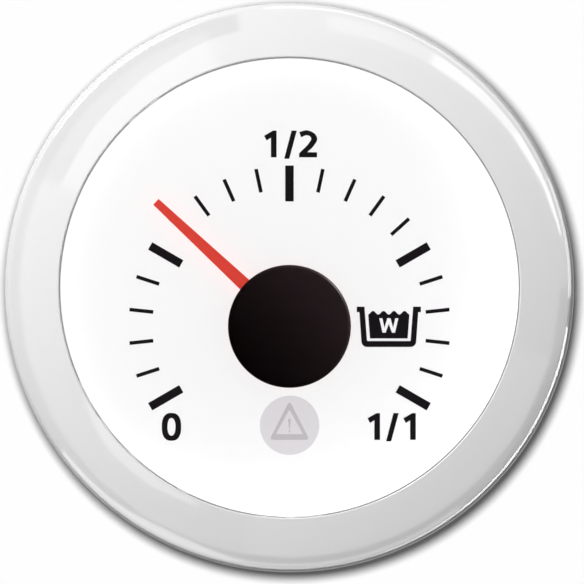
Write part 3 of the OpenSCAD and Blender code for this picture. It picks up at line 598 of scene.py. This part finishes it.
def printed(name, outlines, place, finish, slot):
    """Closed outlines of corner points, or smooth ones where a third value says so, filled."""
    curve = bpy.data.curves.new(name, "CURVE")
    curve.dimensions = "2D"
    curve.fill_mode = "BOTH"
    curve.resolution_u = 10
    curve.extrude = ink_t / 2 * mm
    for outline in outlines:
        line = curve.splines.new("BEZIER")
        line.bezier_points.add(len(outline) - 1)
        line.use_cyclic_u = True
        for knot, (x, y, *smooth) in zip(line.bezier_points, outline):
            knot.co = ((place[0] + x) * mm, (place[1] + y) * mm, 0)
            knot.handle_left_type = knot.handle_right_type = "AUTO" if smooth else "VECTOR"
    drawn = bpy.data.objects.new(name, curve)
    bpy.context.scene.collection.objects.link(drawn)
    mesh = bpy.data.meshes.new_from_object(drawn)
    bpy.data.objects.remove(drawn)
    mesh.transform(standing @ Matrix.Translation((0, 0, (dial_top + ink_t / 2) * mm)))
    closed(mesh, 0.0005)
    settled(made(name, mesh, finish, 20), "gauge", slot)


def oval(width, height, power):
    """A rounded oval about its middle: an ellipse squared off by its power."""
    def bent(value):
        return math.copysign(abs(value) ** (2 / power), value)
    steps = 56
    angles = [math.tau * i / steps for i in range(steps)]
    return [(width / 2 * bent(math.cos(a)), height / 2 * bent(math.sin(a))) for a in angles]


one = [(0.69, 0), (1.29, 0), (1.29, figure_h), (0.91, figure_h), (-0.03, 2.28), (0.24, 1.78),
       (0.69, 2.08)]
slash = [(-0.03, -0.15), (0.51, -0.15), (1.31, figure_h), (0.75, figure_h)]
two = [(-0.02, 2.68), (0.92, figure_h + 0.01, True), (1.87, 2.07, True), (1.60, 1.34, True),
       (0.85, 0.55), (1.87, 0.53), (1.87, 0), (-0.03, 0), (-0.03, 0.42), (1.08, 1.62, True),
       (1.24, 2.00, True), (0.90, 2.32, True), (0.18, 2.13)]
zero = [oval(2.05, 2.94, 2.5), oval(0.85, 1.87, 2.2)]
half_at = (-2.65, 13.76)
full_at = (8.28, -16.10)
empty_at = (-12.47, -14.72)
for name, outline, at, step in (
        ("half_one", one, half_at, 0), ("half_slash", slash, half_at, 2.12),
        ("half_two", two, half_at, 3.70), ("full_one", one, full_at, 0),
        ("full_slash", slash, full_at, 1.96), ("full_last", one, full_at, 3.78)):
    printed(name, [outline], (at[0] + step, at[1]), ink_black, "print_black")
printed("empty_zero", zero, empty_at, ink_black, "print_black")


# Tank sign: an open vessel with its rims turned out, and a waved liquid with the letter W left
# white in it. It is printed with the scale.
tank_at = (10.50, -6.25)
rim_y = 4.23
wave_y, wave_h, wave_l, wave_steps = 3.59, 0.2, 1.11, 8


def mirrored(half):
    """A whole outline from its right half, listed from top to bottom."""
    return half + [(-x, y, *smooth) for x, y, *smooth in reversed(half)]


def arc(x, y, radius, start, end, steps):
    """Points on an arc about a centre, from one angle to another, in degrees."""
    angles = [math.radians(start + (end - start) * i / steps) for i in range(steps + 1)]
    return [(x + radius * math.cos(a), y + radius * math.sin(a)) for a in angles]


vessel = mirrored([(2.57, rim_y), (3.39, rim_y), (3.39, 3.65), (3.11, 3.65), (2.90, 0.60)]
                  + arc(2.30, 0.57, 0.6, 0, -90, 6))
hollow = mirrored([(2.57, rim_y), (2.31, 0.71)] + arc(2.21, 0.70, 0.1, 0, -90, 6))
waves = [(i * wave_l / wave_steps, wave_y - wave_h * math.cos(math.tau * i / wave_steps))
         for i in range(15, -16, -1)]
liquid = [(1.99, 0.87), (2.18, 3.39)] + waves + [(-2.18, 3.39), (-1.99, 0.87)]
letter = mirrored([(0.17, 3.01), (0.46, 2.0), (0.68, 3.01), (1.01, 3.01), (0.66, 1.48),
                   (0.33, 1.48), (0.0, 2.42)])
printed("tank_vessel", [vessel + hollow[::-1]], tank_at, ink_black, "print_black")
printed("tank_liquid", [liquid, letter], tank_at, ink_black, "print_black")


# Warning window: the frosted end of a plug of opal plastic, with a grey triangle printed on it.
# The red lamp behind it lights the whole end.
window_at = (0.0, -14.56)
opal = Finish("opal_window")
frost = opal.noise(0.14 * mm, 4)
opal.paint(opal.blend(frost, (0.665, 0.645, 0.672), (0.70, 0.675, 0.70)), 0.6 + frost * 0.15,
           frost, 0.004)
dressed("lamp_window", opal)
sign_grey = Finish("sign_grey")
tint = sign_grey.noise(0.2 * mm, 4)
sign_grey.paint(sign_grey.blend(tint, (0.475, 0.455, 0.475), (0.50, 0.48, 0.50)),
                0.5 + tint * 0.15, tint, 0.003)
triangle_out = mirrored([(0.0, 2.39), (0.16, 2.30), (1.96, -1.22), (1.99, -1.42), (1.83, -1.54)])
triangle_in = mirrored([(0.0, 1.66), (1.43, -0.93)])
bar = [(-0.15, 0.69), (0.15, 0.69), (0.06, -0.34), (-0.06, -0.34)]
dot = arc(0.0, -0.63, 0.11, 0, 330, 11)
for name, outlines in (("window_triangle", [triangle_out, triangle_in]), ("window_bar", [bar]),
                       ("window_dot", [dot])):
    printed(name, outlines, window_at, sign_grey, "frosted_white")


# Pointer: a flat arm of red plastic, satin and slightly cloudy, with its edges barely broken. It
# is pushed onto the motor's shaft.
pointer_red = Finish("pointer_red", Specular_IOR_Level=0.1)
cloud = pointer_red.noise(0.8 * mm, 5)
pointer_red.paint(pointer_red.blend(cloud, (0.63, 0.047, 0.033), (0.71, 0.057, 0.039)),
                  0.5 + cloud * 0.12, pointer_red.noise(0.1 * mm, 3), 0.004)
settled(rounded_copy("pointer", "pointer_arm", pointer_red, 0.03), "pointer_assembly",
        "pointer_red", "pointer")


# Cap: a shallow dome of black plastic with a satin face. It is pressed over the pointer's hub
# and turns with it.
cap_black = Finish("cap_black", Specular_IOR_Level=0.03)
haze = cap_black.noise(1.6 * mm, 5)
cap_black.paint(cap_black.blend(haze, (0.0068, 0.0041, 0.0047), (0.0094, 0.0059, 0.0065)),
                0.31 + haze * 0.08, cap_black.noise(0.06 * mm, 3), 0.003)
settled(rounded_copy("pointer_cap", "hub_cap", cap_black, 0.04), "pointer_assembly", "cap_black",
        "pointer_cap")


# Lenses: two clear polycarbonate discs with an air gap, so that they don't fog. A grey spacer
# parts them, and a rubber ring beds them on the case's rim.
clear_lens = Finish("clear_lens")
sheen = clear_lens.add("ShaderNodeFresnel", {}, {"IOR": 1.42})
hazed = clear_lens.noise(5 * mm, 3)
glaze = clear_lens.add("ShaderNodeBsdfGlossy", {}, {"Color": (1, 1, 1, 1),
                                                    "Roughness": 0.02 + hazed * 0.02})
through = clear_lens.add("ShaderNodeBsdfTransparent", {}, {"Color": (0.99, 0.99, 0.99, 1)})
leaving = clear_lens.add("ShaderNodeNewGeometry", output="Backfacing")
clear_lens.shown_by(clear_lens.add("ShaderNodeMixShader", {}, {
    0: sheen * (1.0 - leaving), 1: through, 2: glaze}))
for node in ("outer_lens", "inner_lens"):
    dressed(node, clear_lens)
dressed("lens_spacer", moulded("spacer_grey", (0.185, 0.184, 0.188), 0.08, 0.5))
dressed("lens_seal", rubber_black)


# Front ring: glossy white moulding that snaps over the case's flange and holds the lenses. Its
# face falls away outwards like a cone, to a tight round edge and a straight skirt.
ring_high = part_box("front_ring")[1]
ring_r = ring_high.x / mm
ring_top = front_of("front_ring")
ring_foot = -ring_high.y / mm
opening_r, lip_z = 24.3, 8.5
inner_round, edge_r, foot_r = 0.12, 0.9, 0.3
slope_in, slope_out = 11, 15
snap_r, skirt_r, pocket_r = 28.2, 28.75, 28.0
snap_z, skirt_z, pocket_z = 0.9, 0.95, 3.05
round_stop, face_stop = 3.5, 0.2
ring_segments = 288


def lathe(name, section, finish, segments):
    """A closed section of radius and height turned about the dial's axis."""
    form = bmesh.new()
    lines = [[form.verts.new((r * math.cos(a), r * math.sin(a), z)) for r, z in section]
             for a in (math.tau * i / segments for i in range(segments))]
    for i, line in enumerate(lines):
        following = lines[(i + 1) % segments]
        for j in range(len(section)):
            k = (j + 1) % len(section)
            form.faces.new((line[j], line[k], following[k], following[j]))
    bmesh.ops.recalc_face_normals(form, faces=form.faces)
    mesh = bpy.data.meshes.new(name)
    form.to_mesh(mesh)
    form.free()
    mesh.transform(Matrix.Scale(mm, 4))
    mesh.transform(standing)
    return made(name, mesh, finish)


tilt_in, tilt_out = math.radians(slope_in), math.radians(slope_out)
inner_x, inner_z = opening_r + inner_round, ring_top - inner_round
start_x = inner_x + inner_round * math.sin(tilt_in)
edge_x = ring_r - edge_r
face_r = (edge_x + edge_r * math.sin(tilt_out) - start_x) / (math.sin(tilt_out) - math.sin(tilt_in))
face_x = start_x - face_r * math.sin(tilt_in)
face_z = inner_z + inner_round * math.cos(tilt_in) - face_r * math.cos(tilt_in)
edge_z = face_z + (face_r - edge_r) * math.cos(tilt_out)
section = [(opening_r, lip_z)]
section += arc(inner_x, inner_z, inner_round, 180, 90 - slope_in + round_stop, 13)
section += arc(face_x, face_z, face_r, 90 - slope_in, 90 - slope_out + face_stop, 16)
section += arc(edge_x, edge_z, edge_r, 90 - slope_out, 0, 20)
section += arc(ring_r - foot_r, ring_foot + foot_r, foot_r, 0, -90, 6)
section += [(snap_r, ring_foot), (snap_r, snap_z), (skirt_r, skirt_z), (skirt_r, pocket_z),
            (pocket_r, pocket_z), (pocket_r, lip_z)]
ring_white = Finish("ring_white")
waves = ring_white.noise(9 * mm, 2)
dust = ring_white.noise(0.2 * mm, 4)
ring_white.paint(ring_white.blend(waves, (0.846, 0.840, 0.846), (0.858, 0.852, 0.858)),
                 0.03 + waves * 0.01 + dust * 0.015, waves * 0.8 + dust * 0.05, 0.004)
front_bezel = lathe("front_bezel", section, ring_white, ring_segments)
settled(front_bezel, "gauge", "ring_white", "front_ring")


# Camera: square on to the dial from far away, on the photograph's axis. A pixel of the photograph
# shows 0.1056 mm of a plane 5 mm before the panel's face.
photo_w = 584
pixel = 0.1056
plane_y = 5
camera_x, camera_z = 0.269, -0.470
camera_data = bpy.data.cameras.new("camera")
camera_data.lens = 1500
camera_data.sensor_width = 36
camera_data.clip_start = 0.1
camera_data.clip_end = 20
camera = bpy.data.objects.new("camera", camera_data)
camera_away = photo_w * pixel * camera_data.lens / camera_data.sensor_width
camera.location = (camera_x * mm, -(camera_away + plane_y) * mm, camera_z * mm)
camera.rotation_euler = (math.radians(90), 0, 0)
bpy.context.scene.collection.objects.link(camera)
bpy.context.scene.camera = camera
bpy.context.scene.view_settings.view_transform = "Standard"


# Studio: a world that looks white and gives little light, a large soft key from the upper left,
# and a soft lamp each for the dial and the cap. The cards and the black cloths round the camera
# stand only in the gloss of the front ring.
world_light = 0.12
world = bpy.data.worlds.new("studio")
bpy.context.scene.world = world
world.use_nodes = True
air = Nodes(world.node_tree)
seen = air.add("ShaderNodeLightPath", output="Is Camera Ray")
for kind in ("Is Glossy Ray", "Is Transmission Ray"):
    seen = seen.larger(air.add("ShaderNodeLightPath", output=kind))
background = world.node_tree.nodes["Background"]
air.join(seen * (1.0 - world_light) + world_light, background.inputs["Strength"])
air.join((1, 1, 1, 1), background.inputs["Color"])


def towards(off_axis, clock, away):
    """A place off the dial's axis by an angle, at a clock angle from straight up, in degrees."""
    off, turn = math.radians(off_axis), math.radians(clock)
    aside = away * math.sin(off)
    return (aside * math.sin(turn), -away * math.cos(off), aside * math.cos(turn))


def lamp(name, place, power, size):
    """A round soft lamp that looks at the gauge. Its place is in metres, from the dial's middle."""
    light = bpy.data.lights.new(name, "AREA")
    light.energy = power
    light.shape = "DISK"
    light.size = size
    piece = bpy.data.objects.new(name, light)
    piece.location = place
    piece.rotation_euler = Vector(place).to_track_quat("Z", "Y").to_euler()
    bpy.context.scene.collection.objects.link(piece)
    return piece


def sheet(name, rungs, material, *unseen):
    """A surface between pairs of points. It has no part in the named kinds of ray."""
    mesh = bpy.data.meshes.new(name)
    steps = range(0, 2 * len(rungs) - 2, 2)
    mesh.from_pydata([point for pair in rungs for point in pair], [],
                     [(i, i + 2, i + 3, i + 1) for i in steps])
    mesh.materials.append(material)
    piece = bpy.data.objects.new(name, mesh)
    bpy.context.scene.collection.objects.link(piece)
    for kind in unseen:
        setattr(piece, "visible_" + kind, False)
    return piece


def group(name, pieces, state="INCLUDE"):
    """The pieces that a lamp or a card lights, or that can stop it, or that it passes by."""
    chosen = bpy.data.collections.new(name)
    for piece in pieces:
        chosen.objects.link(piece)
    for entry in chosen.collection_objects:
        entry.light_linking.link_state = state
    return chosen


ring_only = group("ring_only", [front_bezel])


def card(name, strength, rims, away=2.5):
    """A glowing card, or a black cloth. Its rims are clock, inner and outer angle, in degrees."""
    glow = Finish(name)
    glow.shown_by(glow.add("ShaderNodeEmission", {}, {"Strength": strength}))
    rungs = [(towards(inner, clock, away), towards(outer, clock, away))
             for clock, inner, outer in rims]
    piece = sheet(name, rungs, glow.material, "camera", "diffuse", "transmission", "shadow")
    piece.light_linking.receiver_collection = ring_only


key = lamp("key", towards(49, -38, 1.0), 10.6, 0.5)
front = lamp("front", towards(50, -48, 1.6), 37.9, 0.5)
cap_light = lamp("cap_light", towards(82, 50, 1.0), 76.0, 0.3)
card("cloth", 0.0, [(clock, 0, 20) for clock in range(0, 361, 15)])
card("card_front", 3.0, [(clock, 20, 29.8) for clock in range(0, 361, 15)])
card("card_right", 3.0, [(clock, 29.8, 45) for clock in range(-15, 100, 15)])
card("card_far_right", 5.5, [(clock, 45, 80) for clock in range(-5, 68, 12)])
card("card_side", 9.0, [(67, 50, 88), (80, 45, 88), (92, 36, 88)])
card("card_low_left", 6.0, [(190, 31, 88), (205, 30, 88), (220, 31, 88), (234, 33, 80)])
card("cloth_side", 0.0, [(102, 31, 46), (115, 30, 47), (130, 31, 48)])
card("card_rim", 17.5, [(98, 50, 80), (106, 50, 84), (120, 52, 86), (132, 53, 86), (142, 58, 84)])
card("card_rim_end", 15.0, [(142, 58, 84), (152, 67, 80), (163, 73, 77)], 2.3)
for name, strength, inner, outer in (("card_low_near", 3.8, 31, 47), ("card_low_mid", 5.2, 47, 60),
                                     ("card_low_far", 8.0, 60, 90)):
    card(name, strength, [(clock, inner, outer) for clock in range(142, 191, 12)])
card("card_under", 3.8, [(clock, 20, 29.8) for clock in range(105, 191, 17)], 2.2)
card("card_left", 4.3, [(-66, 20, 26.4), (-50, 20, 26.8), (-34, 20, 27.3), (-18, 20, 28.1)], 2.0)
card("shade_left", 1.5, [(-66, 26.4, 29.8), (-50, 26.8, 29.8), (-34, 27.3, 29.8),
                         (-18, 28.1, 29.8)], 2.0)
card("cloth_left", 0.0, [(clock, 29.8, 38) for clock in range(-66, -17, 16)], 2.0)
card("cloth_top", 0.0, [(-18, 28.3, 38), (-11, 28.3, 38)], 1.9)
card("card_low", 5.5, [(203, 20, 24.2), (215, 20, 24.9), (228, 20, 25.2), (240, 20, 23.8)], 2.0)
card("streak_top", 4.6, [(8, 28.1, 30.9), (20, 28.5, 31.1), (32, 28.9, 31.2)], 1.5)
card("streak", 8.5, [(32, 28.9, 31.2), (45, 29.5, 31.4), (56, 30.0, 31.5)], 1.5)
card("streak_end", 12.0, [(56, 30.0, 31.5), (68, 30.5, 31.8), (79, 31.0, 32.2)], 1.5)


# Backdrop: a white wall behind the gauge that shows the soft shadow of its ring, and a floor.
# The wall is there only for a camera that looks at it square on.
wall_y = 0.11
wall_reach = 0.5
wall_slant = 0.05
floor_z = -0.034
floor_reach = 4
wall_white = Finish("wall_white", Roughness=1.0, Specular_IOR_Level=0.0)
wall_white.paint((0.95, 0.95, 0.95))
behind = wall_white.add("ShaderNodeNewGeometry", output="Backfacing")
slant = wall_white.add("ShaderNodeLayerWeight", {}, {"Blend": 0.5}, output="Facing")
clear = wall_white.add("ShaderNodeBsdfTransparent")
wall_white.shown_by(wall_white.add("ShaderNodeMixShader", {}, {
    0: behind.larger(slant.above(wall_slant)), 1: Value(wall_white, wall_white.shader.outputs[0]),
    2: clear}))
wall = sheet("wall", [((x, wall_y, floor_z), (x, wall_y, wall_reach))
                      for x in (-wall_reach, wall_reach)],
             wall_white.material, "diffuse", "glossy", "transmission", "shadow")
floor_pale = Finish("floor_pale", Roughness=0.9, Specular_IOR_Level=0.1)
floor_pale.paint(floor_pale.blend(floor_pale.noise(0.08, 2), (0.90, 0.90, 0.90),
                                  (0.92, 0.92, 0.92)))
sheet("floor", [((x, -floor_reach, floor_z), (x, floor_reach, floor_z))
                for x in (-floor_reach, floor_reach)], floor_pale.material, "diffuse", "glossy")
wall_lamp = lamp("wall_lamp", (-0.0049, -2.01, 0.0075), 41.3, 0.0225)


# Light groups: the dial with all that lies on it, the cap and the wall are each lit by a lamp of
# their own, and the key passes them by. Of the whole gauge only the tray can stop the dial's lamp
# and the cap's.
dial_pieces = ("dial", "scale_marks", "lamp_window", "dial_retainer", "lens_spacer", "pointer_arm")
print_starts = ("half_", "full_", "empty_", "tank_", "window_")
on_dial = [piece for piece in bpy.data.objects if piece.type == "MESH"
           and (piece.name in dial_pieces or piece.name.startswith(print_starts))]
cap = bpy.data.objects["hub_cap"]
cap_light.light_linking.receiver_collection = group("cap_only", [cap])
wall_lamp.light_linking.receiver_collection = group("wall_only", [wall])
key.light_linking.receiver_collection = group("key_passes", on_dial + [cap, wall], "EXCLUDE")
front.light_linking.receiver_collection = group("front_on", on_dial)
low_stops = group("low_stops", [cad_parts["dial_tray"]])
front.light_linking.blocker_collection = low_stops
cap_light.light_linking.blocker_collection = low_stops
